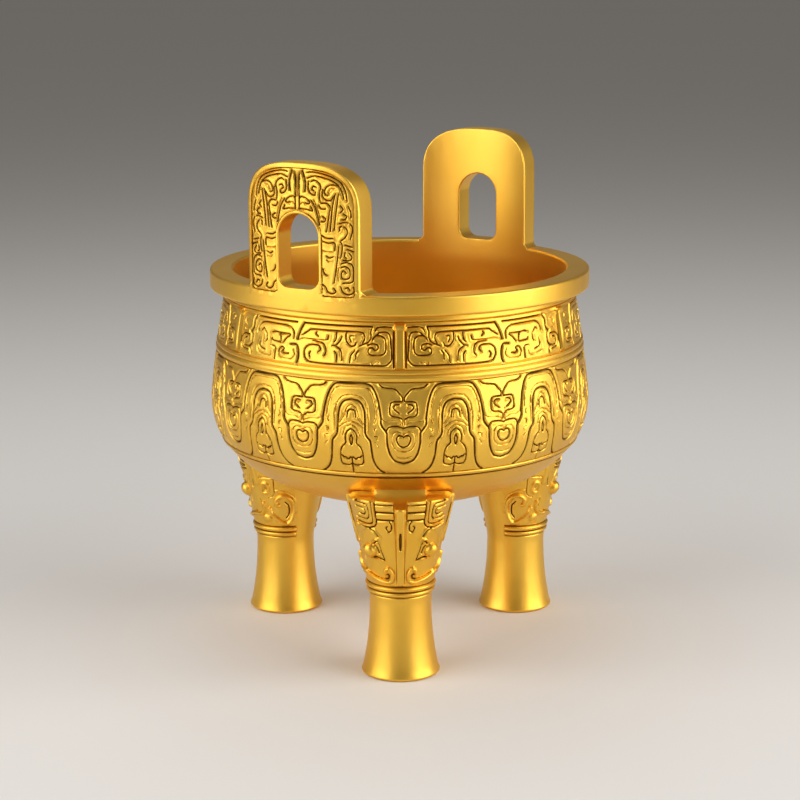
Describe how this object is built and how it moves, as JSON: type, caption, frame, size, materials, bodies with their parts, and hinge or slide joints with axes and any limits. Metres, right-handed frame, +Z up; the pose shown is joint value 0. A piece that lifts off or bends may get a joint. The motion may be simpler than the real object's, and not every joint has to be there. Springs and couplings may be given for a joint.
{
  "type": "ding vessel",
  "caption": "Small round cast brass vessel on legs, with upright handles on its rim and cast wave, dragon and mask ornament.",
  "frame": {"origin": "on the floor, under the axis of the bowl, between the feet", "axes": "+Z up along the bowl's axis; the handles stand over +X and -X; one leg stands out along -Y"},
  "size_m": [0.1092, 0.1101, 0.142],
  "materials": {
    "brass": "satin sand-gold with a dark brown wash in the engraved grooves"
  },
  "bodies": {
    "root": {"ding": "brass"}
  },
  "joints": []
}
